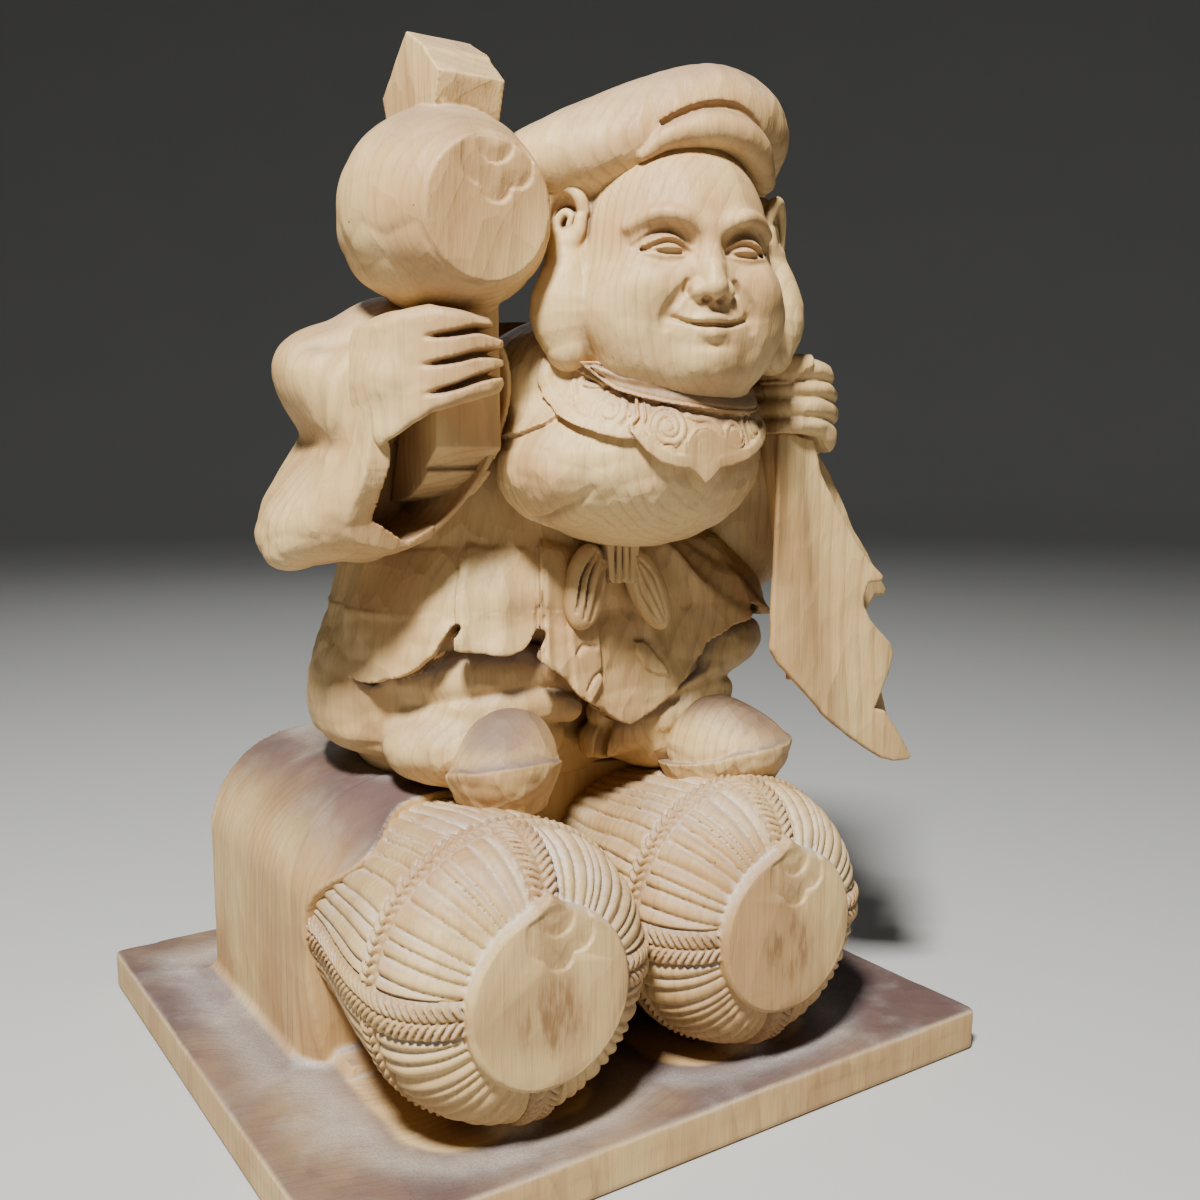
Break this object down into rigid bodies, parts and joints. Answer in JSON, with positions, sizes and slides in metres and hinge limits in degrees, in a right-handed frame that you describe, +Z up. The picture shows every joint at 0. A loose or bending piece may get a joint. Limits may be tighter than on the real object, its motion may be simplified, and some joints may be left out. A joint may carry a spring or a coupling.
{
  "type": "daikoku figure",
  "caption": "Carved wooden figure of the god Daikoku with mallet and sack, standing on straw rice bales on a flat square base.",
  "frame": {"origin": "middle of the base's underside", "axes": "+Z up, the figure faces -Y, its mallet on the -X side"},
  "size_m": [0.24, 0.222, 0.329],
  "materials": {
    "carved_wood": "hand-carved camphor-like wood, waxed and lightly aged, dusty where it faces up"
  },
  "bodies": {
    "root": {"daikoku_figure": "carved_wood"}
  },
  "joints": []
}
